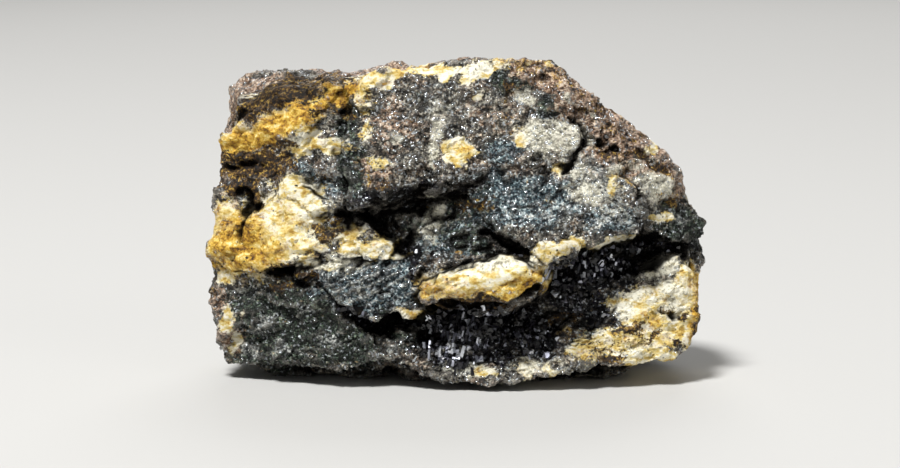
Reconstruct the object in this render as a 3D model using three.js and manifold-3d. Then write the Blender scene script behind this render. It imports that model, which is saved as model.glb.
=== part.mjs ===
// A hand specimen of sphalerite ore: one broken piece of rock, 62 mm wide, lying on its own flat spot.
// Millimetres, +X to the right, +Y away from the viewer, +Z up, origin under the middle of the piece.
// The rock is fused from convex fracture blocks, then its flat faces are broken up into a rough skin.
import * as THREE from "three";
import { ConvexGeometry } from "three/addons/geometries/ConvexGeometry.js";
import { TessellateModifier } from "three/addons/modifiers/TessellateModifier.js";
import { ImprovedNoise } from "three/addons/math/ImprovedNoise.js";
import { mergeVertices } from "three/addons/utils/BufferGeometryUtils.js";
import Module from "manifold-3d";

const wasm = await Module();
wasm.setup();

// Driving dimensions
const LONGEST_EDGE = 3.2; // of a triangle in the rough skin
const TESSELLATE_ROUNDS = 14;
const WAVES = [
  { length: 9, height: 0.9 }, // hollows and swells of a fracture face
  { length: 4, height: 0.6 }, // lumps and chips
];
const GROUND_SLAB = { width: 100, depth: 80, height: 20 };
const ROCK_MIDDLE = new THREE.Vector3(0, 0, 18);

// A front block: corners are [x, z, forward], where forward is how far the corner stands in front of the
// mid-plane. Each runs back to the depth called back and is drawn in there, towards the middle of the rock,
// to the share called waist.
const FRONT_BLOCKS = {
  upper_slab: {
    corners: [
      [-10.1, 36.9, 10], [-6, 38, 9.5], [2.5, 37.8, 10], [5.5, 39.2, 9.5], [9.1, 39.6, 9],
      [12.1, 39.1, 9], [13.6, 37.6, 9.5], [15.5, 30, 12], [15.2, 28, 12.3], [14, 26, 12.5],
      [3, 26, 13], [0, 25, 13.3], [-3, 24.8, 13.3], [-7, 24, 13], [-10, 22.6, 12.5],
      [-12.3, 21.8, 11.8], [-12.5, 27, 11], [-12, 32.8, 10.5],
    ],
    back: -4, waist: 0.9,
  },
  middle_slab_right: {
    corners: [
      [3, 27, 12.2], [8, 27, 12.4], [14.5, 29, 12.1], [19, 29, 11.2], [21, 25, 11.6],
      [23, 21.6, 12.4], [22.7, 19, 13.4], [22, 17.8, 14], [18, 17.9, 14.6], [15, 18.3, 14.8],
      [9, 17.1, 14.8], [6.5, 18.4, 14], [3, 22, 12],
    ],
    back: 0, waist: 0.92,
  },
  middle_slab_left: {
    corners: [
      [-11.2, 22, 8.3], [-4, 24.5, 8.6], [2, 25.7, 9.5], [6, 25, 11.5], [8.5, 17.2, 13.6],
      [5, 16.2, 13.4], [0, 15.1, 13], [-4, 14.1, 12.6], [-5, 16, 12.2], [-9, 19.7, 9.5],
    ],
    back: 0, waist: 1,
  },
  slab_lip: {
    corners: [
      [9, 17, 15], [12, 17.8, 15.3], [15.6, 18.4, 15], [15.3, 17.5, 15.4], [13.9, 16.1, 15.3],
      [11.4, 15, 15], [9.4, 15.9, 15.4],
    ],
    back: 9, waist: 0.95,
  },
  vein_ledge: {
    corners: [
      [-3, 10.3, 14.8], [1, 9.4, 15], [4, 9.5, 15], [7, 10.4, 14.5], [10, 11.2, 14.2],
      [11, 12, 14], [0, 11.3, 14.5],
    ],
    back: 8, waist: 0.95,
  },
  vein_root: {
    corners: [[-6, 9.8, 13.6], [-4, 10.6, 14], [-2.5, 9.7, 14], [-3, 8.6, 13.8], [-5.5, 8.6, 13.6]],
    back: 9, waist: 1,
  },
  right_flank_top: {
    corners: [
      [13.1, 38.4, 9], [14.1, 37.6, 9], [16.2, 35.5, 8.6], [18.2, 33.4, 8], [20.5, 32, 8],
      [22.8, 29.9, 7.6], [21, 25.9, 10.4], [15.6, 28, 11.2], [14.2, 32.8, 10.6],
    ],
    back: -5, waist: 0.88,
  },
  right_flank_middle: {
    corners: [
      [22.5, 29.7, 7.6], [23.4, 28.9, 7.4], [24.8, 28.2, 7], [26, 27.2, 7], [26.8, 24.6, 6.2],
      [26.5, 22, 8], [22.6, 22, 11], [20.5, 26, 10.4],
    ],
    back: -4, waist: 0.9,
  },
  right_tip: {
    corners: [
      [24, 23.5, 9.2], [26.6, 24.6, 6.4], [27.8, 24.1, 6], [29.4, 21.9, 5.8], [30.6, 21.3, 5.5],
      [31.6, 19.7, 5], [31.2, 17.6, 5.6], [30.4, 16.6, 6], [27.3, 17.4, 8.5], [24.2, 18.1, 9.8],
      [23.3, 19.4, 10.2],
    ],
    back: -6, waist: 0.88,
  },
  right_block_cap: {
    corners: [
      [22.5, 13, 9.8], [23.2, 14.6, 8.8], [25.2, 15.8, 8.2], [27.8, 15.8, 7.6], [29.6, 14.8, 7],
      [29.8, 13, 7],
    ],
    back: -4, waist: 0.9,
  },
  right_block: {
    corners: [
      [17, 11.6, 9.8], [22, 12.6, 10.4], [24, 13.6, 10], [27.6, 15.2, 9], [29.4, 14.8, 7.8],
      [29.8, 11.6, 8], [30.1, 9.9, 8.5], [29.8, 5.6, 9.2], [29, 4.5, 9.8], [27, 3.2, 11],
      [24, 2.5, 12.3], [20.4, 2.3, 13.4], [17.2, 2.7, 13.8], [16.4, 7, 12],
    ],
    back: -6, waist: 0.88,
  },
  crystal_pocket_floor: {
    corners: [
      [11, 11.2, 9.6], [23, 12.2, 9], [23.9, 15.4, 7.2], [20.3, 16.9, 7.2], [14, 16.5, 8],
      [11, 14.1, 9],
    ],
    back: 0, waist: 1,
  },
  lower_middle: {
    corners: [
      [-12.4, 7.6, 11.4], [-9, 7.8, 10.8], [-5, 8.3, 11], [0, 8.6, 10.5], [6, 9.5, 9.8], [12, 11.5, 9.5],
      [18, 11.8, 9.8], [18, 2.7, 13.8], [14, 2, 14.2], [8, 1.8, 14.8], [4, 1.3, 15],
      [-1, 1.5, 14.8], [-3, 2.3, 14], [-6, 3.4, 12.8], [-8.5, 3.6, 12.6], [-12, 3.4, 12],
    ],
    back: 0, waist: 0.94,
  },
  striated_block: {
    corners: [
      [-18.5, 15.8, 11.3], [-14, 15.9, 12.3], [-4, 16.1, 12.4], [-3.2, 14, 12.8], [-3.4, 10.7, 13.4],
      [-6, 9.7, 13.8], [-9, 8.2, 14], [-10, 8.2, 14], [-12, 9.6, 13.6], [-13, 10.4, 13.2],
      [-15.5, 12.3, 12.4], [-18, 13.5, 11.4],
    ],
    back: 2, waist: 0.96,
  },
  lower_left_block: {
    corners: [
      [-29.6, 13.6, 4.5], [-26.4, 14, 6.8], [-22.2, 14.6, 9], [-18.5, 13, 10.9], [-16.5, 12.4, 11.2],
      [-15, 11.2, 11.6], [-12, 8.9, 12.4], [-10, 7.1, 13], [-9, 5.1, 13.2], [-9.5, 3.9, 13],
      [-12, 2.1, 13], [-14.5, 2.4, 12.6], [-20.1, 2.6, 10.6], [-24.3, 2.1, 8.6], [-27.5, 2.2, 6.8],
      [-28.2, 6.1, 5.5], [-29.2, 8.5, 4.8], [-29.9, 10.4, 4.3],
    ],
    back: -5, waist: 0.88,
  },
  cream_boss: {
    corners: [
      [-19.7, 24.8, 9.3], [-18.1, 24.3, 10.2], [-16, 23.1, 11], [-14.3, 21.5, 11.6], [-11, 19.6, 11.6],
      [-14, 16.6, 13.3], [-18.5, 16.4, 12.6], [-20, 16, 11.8], [-22.1, 14.3, 10.6], [-25.3, 13.6, 8.8],
      [-29.1, 13.7, 5.5], [-25.3, 18.9, 8], [-22.8, 22, 8.6],
    ],
    back: -3, waist: 0.92,
  },
  left_cream_edge: {
    corners: [
      [-28.9, 23, 4.5], [-25.6, 24, 5.6], [-22.8, 22.4, 7], [-22.6, 17.4, 8], [-24, 13.2, 7.9],
      [-29.6, 13, 4.8], [-29.6, 14, 4.8], [-28.2, 16.1, 5.5], [-28.2, 19, 5],
    ],
    back: -4, waist: 0.9,
  },
  right_cream_lumps: {
    corners: [
      [-14.5, 19.9, 11.5], [-11.5, 20.7, 11.4], [-10, 19.6, 11.8], [-8, 18.9, 11.6], [-6, 17.8, 12],
      [-5, 16.9, 12.4], [-6.5, 16.1, 13], [-11, 15.8, 13.6], [-14, 16.2, 13.4],
    ],
    back: 4, waist: 0.96,
  },
  brown_band: {
    corners: [
      [-28, 28.2, 4.5], [-22.4, 30, 7], [-19.2, 31.4, 8.2], [-10.9, 33.4, 9.6], [-10.4, 23.8, 10.6],
      [-10.8, 21.8, 10.8], [-14.3, 21.4, 10.9], [-18.7, 23.6, 9.4], [-21.3, 22.6, 8], [-25.5, 21, 6],
      [-28.7, 22.9, 4], [-28.3, 24.9, 4],
    ],
    back: -5, waist: 0.9,
  },
  orange_band: {
    corners: [
      [-28.2, 28.8, 4.6], [-27.1, 30, 5.2], [-25.3, 31.7, 5.8], [-22.4, 32.8, 6.6], [-17.3, 34.8, 7.6],
      [-12.6, 36.2, 9], [-9.6, 36.5, 9.4], [-9.6, 33.7, 9.8], [-13.1, 32, 9.6], [-17.2, 30.9, 8.8],
      [-22.3, 29.4, 7.6], [-27.6, 27.2, 5],
    ],
    back: -6, waist: 0.9,
  },
};

// The pale vein is a bar that stands out of the face: its corners are [x, z, forward] all round.
const PALE_VEIN = [
  [-3.8, 13.7, 13.5], [0, 14.6, 13.5], [5, 15.8, 13.5], [9, 16.8, 13.5], [11.8, 15, 13.5],
  [-3.2, 13.2, 16.6], [2, 13.7, 17.2], [7, 14.4, 17], [10.9, 14, 16.6],
  [-3.9, 11.4, 15.2], [-3, 10.8, 16.6], [2, 11.7, 17], [7, 12.1, 16.7], [11.3, 12.6, 16], [11.8, 13.6, 15.6],
  [-3, 11, 8], [11, 12.6, 8], [-3, 14, 8], [11, 15.6, 8],
];

// The body behind the front blocks and the unseen back: corners are [x, y, z].
const BODY_BLOCKS = {
  left_body: [
    [-26.6, -3, 33.4], [-27.4, -3, 30], [-27.2, 6, 34.6], [-24.4, 8, 36.3], [-15, 10.5, 36.2],
    [-5, 7, 36.9], [-9, -8, 36.6], [-28.2, -2, 26], [-28.6, 0, 21], [-29, 1, 13.5], [-28.8, 1, 9.5],
    [-27.4, -2, 6.5], [-27.2, -4, 2.4], [-27, 9.5, 14], [-25, 9, 2.8], [-7, 14.4, -1],
    [-7, 16.8, 20], [-4, 14, 31], [-16, -6, -1.2], [0, -8, -1.2], [-8, -9.5, 2.4],
  ],
  right_body: [
    [9, -7.5, 39.4], [4, 2, 38], [13, -6, 37.8], [-12, 3, 36.2], [12, 4, 35.5], [21, -3, 31],
    [22, 3, 28.6], [25, -4, 27], [28.4, -3, 22.8], [31, -3, 19.6], [30.4, 0, 16.6], [29.8, 4, 16],
    [24, 12.5, 19], [8, 16.8, 25], [-13, 15, 19], [30, -4, 11], [29.6, -5, 5], [28.4, 3, 4.4],
    [26.5, 8.5, 3.4], [14, 14.8, -1], [-11, 14.4, -1], [-14, -7, -1.2], [16, -8.5, -1.2],
    [20, 6, -1.2], [6, 11, 36],
  ],
  right_core: [
    [12, -7, 38.2], [17.4, -5.5, 33], [22, -5, 29.2], [25.8, -4.4, 25.2], [30.4, -3, 19.6],
    [29.8, -3.6, 16], [29.4, -5, 10], [29, -6, 5.4], [26.5, -8, 3.8], [12, -9, 3.4],
    [10, 5, 37.4], [20, 5, 30], [27.6, 5, 20], [29, 4, 13], [28, 4, 5], [10, 5, 3],
  ],
  back_step: [
    [-6, 8, 33], [12, 6, 33.5], [16, 9, 28], [20, 11, 14], [4, 18.6, 12], [-8, 17.8, 13],
    [-4, 18, 22], [10, 16.5, 23], [-6, 12, 4], [16, 12, 4],
  ],
};

// Pieces that broke away: corners are [x, y, z].
const MISSING_CHIPS = {
  left_waist: [
    [-34, -10, 22.5], [-34, -10, 15], [-28, -10, 20.5], [-28, -10, 16.6],
    [-34, 4, 22], [-34, 4, 15.5], [-28.6, 4, 20], [-28.6, 4, 17],
  ],
  back_upper_right: [
    [14, 6, 40], [34, 6, 40], [34, 20, 40], [12, 20, 40], [20, 9, 22], [34, 5, 21], [34, 20, 22],
    [15, 20, 24],
  ],
  back_lower_left: [
    [-34, 8, -5], [-10, 15, -5], [-34, 24, -5], [-12, 24, -5], [-34, 9.5, 8], [-14, 14.2, 7],
    [-34, 24, 9], [-14, 24, 8],
  ],
  front_arch_under: [
    [-10.5, -20, -4], [-2.5, -20, -4], [-10, -20, 2.2], [-7.5, -20, 3.1], [-5.5, -20, 2.9],
    [-2.8, -20, 1.2], [-8.5, -4, -4], [-4.5, -4, -4], [-7, -4, 1.6],
  ],
};

const perlin = new ImprovedNoise();

// A three.js geometry as a manifold-3d solid.
function solidOf(geometry) {
  const bare = geometry.clone();
  bare.deleteAttribute("normal");
  bare.deleteAttribute("uv");
  const merged = mergeVertices(bare, 1e-4);
  return new wasm.Manifold(
    new wasm.Mesh({
      numProp: 3,
      vertProperties: new Float32Array(merged.attributes.position.array),
      triVerts: new Uint32Array(merged.index.array),
    }),
  );
}

// A manifold-3d solid as a three.js geometry.
function geometryOf(solid) {
  const mesh = solid.getMesh();
  return new THREE.BufferGeometry()
    .setAttribute("position", new THREE.BufferAttribute(mesh.vertProperties, 3))
    .setIndex(new THREE.BufferAttribute(mesh.triVerts, 1));
}

// The convex block whose corners are these points.
function block(points) {
  return solidOf(new ConvexGeometry(points));
}

const fromFace = ([x, z, forward]) => new THREE.Vector3(x, -forward, z);

function frontBlock({ corners, back, waist }) {
  const front = corners.map(fromFace);
  const rear = front.map((p) => p.clone().lerp(ROCK_MIDDLE, 1 - waist).setY(-back));
  return block([...front, ...rear]);
}

function corner([x, y, z]) {
  return new THREE.Vector3(x, y, z);
}

// All the blocks fused, less the pieces that broke away.
function fusedRock() {
  const added = [
    ...Object.values(FRONT_BLOCKS).map(frontBlock),
    block(PALE_VEIN.map(fromFace)),
    ...Object.values(BODY_BLOCKS).map((points) => block(points.map(corner))),
  ];
  const lost = Object.values(MISSING_CHIPS).map((points) => block(points.map(corner)));
  const whole = added.reduce((sum, piece) => sum.add(piece));
  return lost.reduce((sum, piece) => sum.subtract(piece), whole);
}

// How far the rough skin moves a point: three noise values for each wave, one for each axis.
function roughness({ x, y, z }) {
  const shift = new THREE.Vector3();
  WAVES.forEach(({ length, height }, i) => {
    const u = x / length + 17 * i;
    const v = y / length + 5 * i;
    const w = z / length + 31 * i;
    shift.x += height * perlin.noise(u, v, w);
    shift.y += height * perlin.noise(v + 40, w, u);
    shift.z += height * perlin.noise(w, u + 80, v);
  });
  return shift;
}

function roughened(solid) {
  const fine = new TessellateModifier(LONGEST_EDGE, TESSELLATE_ROUNDS).modify(geometryOf(solid));
  const position = fine.attributes.position;
  const p = new THREE.Vector3();
  for (let i = 0; i < position.count; i++) {
    p.fromBufferAttribute(position, i);
    p.add(roughness(p));
    position.setXYZ(i, p.x, p.y, p.z);
  }
  return solidOf(fine);
}

// What lies below the ground plane is cut off flat, which leaves the spot that the specimen rests on.
function groundSlab() {
  const { width, depth, height } = GROUND_SLAB;
  return solidOf(new THREE.BoxGeometry(width, depth, height).translate(0, 0, -height / 2));
}

function specimen() {
  const geometry = geometryOf(roughened(fusedRock()).subtract(groundSlab()));
  geometry.computeBoundingBox();
  const { min, max } = geometry.boundingBox;
  geometry.translate(-(min.x + max.x) / 2, -(min.y + max.y) / 2, -min.z);
  geometry.computeVertexNormals();
  const stone = new THREE.MeshStandardMaterial({ color: 0x6f6a62, roughness: 0.7, metalness: 0.1 });
  const mesh = new THREE.Mesh(geometry, stone);
  mesh.name = "sphalerite_specimen";
  return mesh;
}

const part = new THREE.Group();
part.add(specimen());

export default part;
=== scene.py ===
import bpy
import numpy as np
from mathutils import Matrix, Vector


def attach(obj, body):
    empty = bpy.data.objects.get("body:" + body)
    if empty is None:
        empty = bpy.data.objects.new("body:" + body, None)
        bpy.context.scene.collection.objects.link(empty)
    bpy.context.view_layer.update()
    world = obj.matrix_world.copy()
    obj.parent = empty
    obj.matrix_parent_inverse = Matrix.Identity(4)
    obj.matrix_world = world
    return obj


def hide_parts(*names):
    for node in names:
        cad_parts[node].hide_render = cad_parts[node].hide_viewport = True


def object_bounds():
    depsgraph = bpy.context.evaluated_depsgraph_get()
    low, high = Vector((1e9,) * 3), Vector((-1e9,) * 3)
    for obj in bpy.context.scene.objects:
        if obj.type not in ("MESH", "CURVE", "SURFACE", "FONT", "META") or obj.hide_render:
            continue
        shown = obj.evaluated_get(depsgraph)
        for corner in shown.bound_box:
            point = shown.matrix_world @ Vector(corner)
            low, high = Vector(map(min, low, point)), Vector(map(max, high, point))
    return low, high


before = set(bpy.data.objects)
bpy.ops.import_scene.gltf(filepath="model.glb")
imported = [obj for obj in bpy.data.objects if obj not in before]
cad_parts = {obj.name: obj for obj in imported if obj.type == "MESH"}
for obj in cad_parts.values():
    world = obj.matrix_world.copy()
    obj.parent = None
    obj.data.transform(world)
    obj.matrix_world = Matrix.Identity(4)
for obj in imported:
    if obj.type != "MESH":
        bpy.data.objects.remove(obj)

cad_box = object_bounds()

# The viewer's place, in front of the specimen and a little above it, with a long lens that hardly tapers
# it. The rock's face is described as it is seen from here, so the camera comes first.
MM = 0.001  # metres in a millimetre
M = 1000.0  # millimetres in a metre
ORIGIN_MM = np.array([-1.078, -0.419, 0.0])  # the point that places on the face are measured from
AIM_MM = ORIGIN_MM + [0, 0, 17.0]
EYE_DISTANCE_MM = 312.0
EYE_ELEVATION = np.radians(8.0)
EYE_MM = AIM_MM + EYE_DISTANCE_MM * np.array([0, -np.cos(EYE_ELEVATION), np.sin(EYE_ELEVATION)])

lens = bpy.data.cameras.new("viewer")
lens.lens = 100.0
lens.sensor_width = 36.0
lens.clip_start = 0.01
viewer = bpy.data.objects.new("viewer", lens)
bpy.context.scene.collection.objects.link(viewer)
viewer.location = EYE_MM * MM
viewer.rotation_euler = (np.pi / 2 - EYE_ELEVATION, 0, 0)
bpy.context.scene.camera = viewer

# The rock: one broken piece of sphalerite ore with its quartz vein and weathered skin, never shaped or
# polished. No two-parameter grid can hold its ledges and undercuts, so an even skin of small faces is grown
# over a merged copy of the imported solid, finer in front, and numpy works out all relief on whole arrays.
FACE_MM = 0.372
MIDDLE_GAIN = 1.02  # the skin is grown on a widened copy, this many times as large at the rock's middle
FRONT_GAIN = 0.0210  # and by this much more for each millimetre towards the viewer
MIDDLE_HEIGHT_MM = 18.0
WELD_MM = 0.002


def finer_in_front(p):
    """Widens x and z by s = m - g y about the middle, and y by the integral of s: m and g are the gains."""
    s = MIDDLE_GAIN - FRONT_GAIN * p[:, 1:2]
    y = MIDDLE_GAIN * p[:, 1:2] - FRONT_GAIN / 2 * p[:, 1:2] ** 2
    return np.hstack([p[:, 0:1] * s, y, MIDDLE_HEIGHT_MM + (p[:, 2:3] - MIDDLE_HEIGHT_MM) * s])


def as_it_was(q):
    """The inverse: y is the smaller root of the quadratic, and x and z are divided by s again."""
    y = (MIDDLE_GAIN - np.sqrt(MIDDLE_GAIN**2 - 2 * FRONT_GAIN * q[:, 1:2])) / FRONT_GAIN
    s = MIDDLE_GAIN - FRONT_GAIN * y
    return np.hstack([q[:, 0:1] / s, y, MIDDLE_HEIGHT_MM + (q[:, 2:3] - MIDDLE_HEIGHT_MM) / s])


def points_of(mesh):
    """The mesh's points as an array, a row of x, y and z each."""
    co = np.empty(len(mesh.vertices) * 3, np.float32)
    mesh.vertices.foreach_get("co", co)
    return co.reshape(-1, 3).astype(float)


rock_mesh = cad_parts["sphalerite_specimen"].data.copy()
rock_mesh.name = "ore_rock"
rock_mesh.materials.clear()
rock = bpy.data.objects.new("ore_rock", rock_mesh)
bpy.context.scene.collection.objects.link(rock)
rock_mesh.vertices.foreach_set("co", finer_in_front(points_of(rock_mesh) * M).ravel())
bpy.context.view_layer.objects.active = rock
weld = rock.modifiers.new("weld", "WELD")
weld.merge_threshold = WELD_MM
skin = rock.modifiers.new("even_skin", "REMESH")
skin.mode = "VOXEL"
skin.voxel_size = FACE_MM
skin.use_smooth_shade = False
evaluated = rock.evaluated_get(bpy.context.evaluated_depsgraph_get())
rock_mesh = bpy.data.meshes.new_from_object(evaluated)
rock.modifiers.clear()
rock.data = rock_mesh
rock_mesh.name = "ore_rock"
place = as_it_was(points_of(rock_mesh))

loops = np.empty(len(rock_mesh.loops), np.int32)
rock_mesh.loops.foreach_get("vertex_index", loops)
quads = loops.reshape(-1, 4)
edges = np.vstack([quads[:, [0, 1]], quads[:, [1, 2]], quads[:, [2, 3]], quads[:, [3, 0]]])
ties = np.unique(np.sort(edges, 1), axis=0)
tie_count = np.bincount(ties.ravel(), minlength=len(place))[:, None]


def spread(values, rounds, share=0.5):
    """Each point's value moves by a share towards the mean of its neighbours, round after round."""
    v = values.reshape(len(place), -1).copy()
    for _ in range(rounds):
        total = np.stack([
            np.bincount(ties[:, 0], v[ties[:, 1], k], len(v))
            + np.bincount(ties[:, 1], v[ties[:, 0], k], len(v))
            for k in range(v.shape[1])
        ], 1)
        v += share * (total / tie_count - v)
    return v.reshape(values.shape)


def outward(p):
    """Unit normals: the cross product of each face's diagonals, summed at its corners."""
    n = np.cross(p[quads[:, 2]] - p[quads[:, 0]], p[quads[:, 3]] - p[quads[:, 1]])
    total = np.stack([sum(np.bincount(quads[:, c], n[:, k], len(p)) for c in range(4)) for k in range(3)], 1)
    return total / np.maximum(np.linalg.norm(total, axis=1, keepdims=True), 1e-12)


def scrambled(cell, seed):
    """Three numbers from 0 to 1 for each whole-number cell, from multiplied and shifted bits."""
    c = (cell + 4096).astype(np.uint64)
    h = c[:, 0] * np.uint64(73856093) ^ c[:, 1] * np.uint64(19349663) ^ c[:, 2] * np.uint64(83492791)
    h = (h + np.uint64(seed * 7919 + 13)) & np.uint64(0xFFFFFFFF)
    out = []
    for _ in range(3):
        h = ((h ^ (h >> np.uint64(16))) * np.uint64(0x45D9F3B)) & np.uint64(0xFFFFFFFF)
        h = ((h ^ (h >> np.uint64(15))) * np.uint64(0x2C1B3C6D)) & np.uint64(0xFFFFFFFF)
        h = h ^ (h >> np.uint64(13))
        out.append(h / 4294967296.0)
    return np.stack(out, 1)


NOISE_GAIN = 1.5  # brings the noise below to about -1 to 1


def swell(p, length, seed):
    """Gradient noise of that wave length: the random slopes of the eight lattice corners around each point,
    blended by a quintic."""
    q = p / length
    i = np.floor(q).astype(np.int64)
    f = q - i
    w = f**3 * (f * (f * 6 - 15) + 10)
    total = np.zeros(len(p))
    for corner in np.ndindex(2, 2, 2):
        c = np.array(corner)
        slope = scrambled(i + c, seed) * 2 - 1
        total += np.prod(np.where(c == 1, w, 1 - w), 1) * np.sum(slope * (f - c), 1)
    return total * NOISE_GAIN


FAR = 9.0  # further than any plate or cell centre, in cells
UNEVEN, TILT, DOME = 0.30, 0.6, 0.45  # how much fracture plates differ in height, lean and are hollowed
PLATE_LIFT = 0.05  # added to the height of every fracture plate
STEP_UNEVEN, STEP_TILT = 0.5, 0.45  # how much cleavage steps differ in height and lean


def scoops(p, size, seed):
    """Fracture hollows: the lowest of the tilted, slightly hollow plates around, one to a cell of that
    size, so that sharp ridges stand between them."""
    q = p / size
    i = np.floor(q).astype(np.int64)
    least = np.full(len(p), FAR)
    for step in np.ndindex(3, 3, 3):
        cell = i + np.array(step) - 1
        d = q - cell - 0.15 - 0.7 * scrambled(cell, seed)  # its centre is within the middle 0.7 of the cell
        r = scrambled(cell, seed + 500) * 2 - 1
        plate = UNEVEN * r[:, 0] + TILT * np.sum(np.roll(r, 1, 1) * d, 1) + DOME * np.sum(d * d, 1)
        least = np.minimum(least, plate)
    return least + PLATE_LIFT


def steps(p, size, seed):
    """Cleavage steps: each point takes the height and slope of the nearest cell centre, so that sharp edges
    stand between the cells."""
    q = p / size
    i = np.floor(q).astype(np.int64)
    nearest = np.full(len(p), FAR)
    height = np.zeros(len(p))
    for step in np.ndindex(3, 3, 3):
        cell = i + np.array(step) - 1
        d = q - cell - 0.1 - 0.8 * scrambled(cell, seed)  # its centre is within the middle 0.8 of the cell
        r = scrambled(cell, seed + 500) * 2 - 1
        far = np.sum(d * d, 1)
        top = STEP_UNEVEN * r[:, 0] + STEP_TILT * np.sum(np.roll(r, 1, 1) * d, 1)
        height = np.where(far < nearest, top, height)
        nearest = np.minimum(nearest, far)
    return height


def across(low, high, x):
    """Rises smoothly from 0 at low to 1 at high."""
    t = np.clip((x - low) / (high - low), 0, 1)
    return t * t * (3 - 2 * t)


FACE_SHEET_MM = 12.0


def on_the_face(p):
    """Where the line from the viewer to each point cuts an upright sheet that far in front of the origin."""
    e = EYE_MM - ORIGIN_MM
    q = p - ORIGIN_MM
    t = (-FACE_SHEET_MM - e[1]) / (q[:, 1] - e[1])
    return np.stack([e[0] + t * (q[:, 0] - e[0]), e[2] + t * (q[:, 2] - e[2])], 1)


# Beds of the ore dip a little to the left, so chips are long along them and thin across them.
BED_DIP = np.radians(13.0)
along = np.array([np.cos(BED_DIP), 0, np.sin(BED_DIP)])
across_beds = np.array([-np.sin(BED_DIP), 0, np.cos(BED_DIP)])


def in_beds(p, flat=1.5):
    """Distances along the beds, back through them and, stretched, across them."""
    return np.stack([p @ along, p[:, 1], p @ across_beds * flat], 1)


# The front share is 1 where the rock faces the viewer and 0 behind, and changes along a ragged line.
FRONT_EDGE_MM = 3.0
place = spread(place, 2)
wandering = place[:, 1] + 4.5 * swell(place, 9, 3) + 3.0 * swell(place, 3.2, 4)
front = across(FRONT_EDGE_MM, -FRONT_EDGE_MM, wandering)


def patch(at, marks, blur=0.65):
    """Each mark is an ellipse with a soft rim, [u, v, half length, half height, turn in degrees, strength],
    and a point takes the strongest."""
    total = np.zeros(len(at))
    for u, v, a, b, turn, strength in marks:
        c, s = np.cos(np.radians(turn)), np.sin(np.radians(turn))
        du, dv = at[:, 0] - u, at[:, 1] - v
        depth = 1 - np.sqrt(((du * c + dv * s) / a) ** 2 + ((dv * c - du * s) / b) ** 2)
        total = np.maximum(total, strength * across(-blur, blur, depth))
    return total


def groove(at, line, width):
    """1 on a bent line of [u, v] points, falling off like a bell to the sides."""
    nearest = np.full(len(at), 1e9)
    for a, b in zip(np.array(line[:-1], float), np.array(line[1:], float)):
        t = np.clip((at - a) @ (b - a) / ((b - a) @ (b - a)), 0, 1)
        nearest = np.minimum(nearest, np.linalg.norm(at - a - t[:, None] * (b - a), axis=1))
    return np.exp(-((nearest / width) ** 2))


# Marks are laid on wavering places, so that their rims are ragged at two scales.
face = on_the_face(place)
ragged = face + 0.95 * np.stack([swell(place, 2.6, 11), swell(place, 2.6, 12)], 1)
ragged += 0.45 * np.stack([swell(place, 1.0, 13), swell(place, 1.0, 14)], 1)

# The grey slabs broke flatter than the rest of the rock, and the cream boss has a finer skin.
SLAB_CALM = 0.45
BOSS_CALM = 0.55
smooth_slab = patch(ragged, [[2, 31, 13, 6.5, 5, 1], [12, 23, 10, 5, 0, 0.7]])
boss = patch(ragged, [[-21, 19, 7.5, 5.5, 30, 1], [-11, 18, 6, 2.6, -5, 1]])
rough_gain = 1 - SLAB_CALM * smooth_slab * front
fine_gain = 1 - BOSS_CALM * boss * front

# Cracks of the face: each is a bent line of [u, v] points, its width and its depth, all in millimetres.
CRACKS = [
    [[[-19.2, 12.9], [-16.6, 12.6], [-14.8, 11.4], [-13.0, 10.0]], 0.32, 0.8],
    [[[14.0, 32.8], [14.9, 31.1], [15.6, 29.9], [15.2, 28.4], [14.7, 27.0], [14.0, 26.0]], 0.20, 0.8],
    [[[15.6, 31.2], [17.2, 30.3], [18.6, 29.3], [19.8, 28.9], [21.4, 27.7]], 0.22, 0.5],
    [[[18.4, 27.0], [19.8, 25.6], [21.4, 24.4], [22.4, 23.0], [23.6, 22.2]], 0.24, 0.6],
    [[[10.8, 25.9], [12.1, 26.0]], 0.16, 0.4],
    [[[11.4, 24.2], [11.3, 22.9], [10.4, 21.9]], 0.15, 0.4],
    [[[-5.2, 26.7], [-3.9, 27.1], [-3.0, 26.3], [-1.8, 25.9]], 0.18, 0.5],
    [[[-12.2, 27.5], [-11.3, 27.7], [-10.6, 26.8]], 0.15, 0.35],
    [[[4.2, 18.7], [5.4, 18.4], [6.6, 17.6], [8.4, 16.7]], 0.30, 0.8],
    [[[-4.3, 19.4], [-4.0, 18.2], [-5.2, 17.0]], 0.25, 0.5],
    [[[-19.2, 16.3], [-17.5, 16.4], [-15.3, 16.2]], 0.20, 0.6],
    [[[24.6, 9.7], [25.9, 8.6], [26.7, 8.5], [27.3, 9.4]], 0.22, 0.5],
    [[[-28.0, 26.9], [-24.5, 26.8], [-22.5, 26.6]], 0.30, 0.6],
    [[[-24.6, 23.6], [-24.0, 22.4], [-24.7, 20.2], [-24.7, 17.6]], 0.35, 0.8],
    [[[-3.6, 11.6], [-1.5, 11.9], [1.5, 12.4]], 0.14, 0.25],
    [[[0.5, 14.2], [3.5, 14.4], [6.0, 15.0], [9.0, 15.6]], 0.12, 0.25],
    [[[9.2, 16.0], [11.0, 15.6], [12.6, 14.6]], 0.14, 0.3],
]

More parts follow.
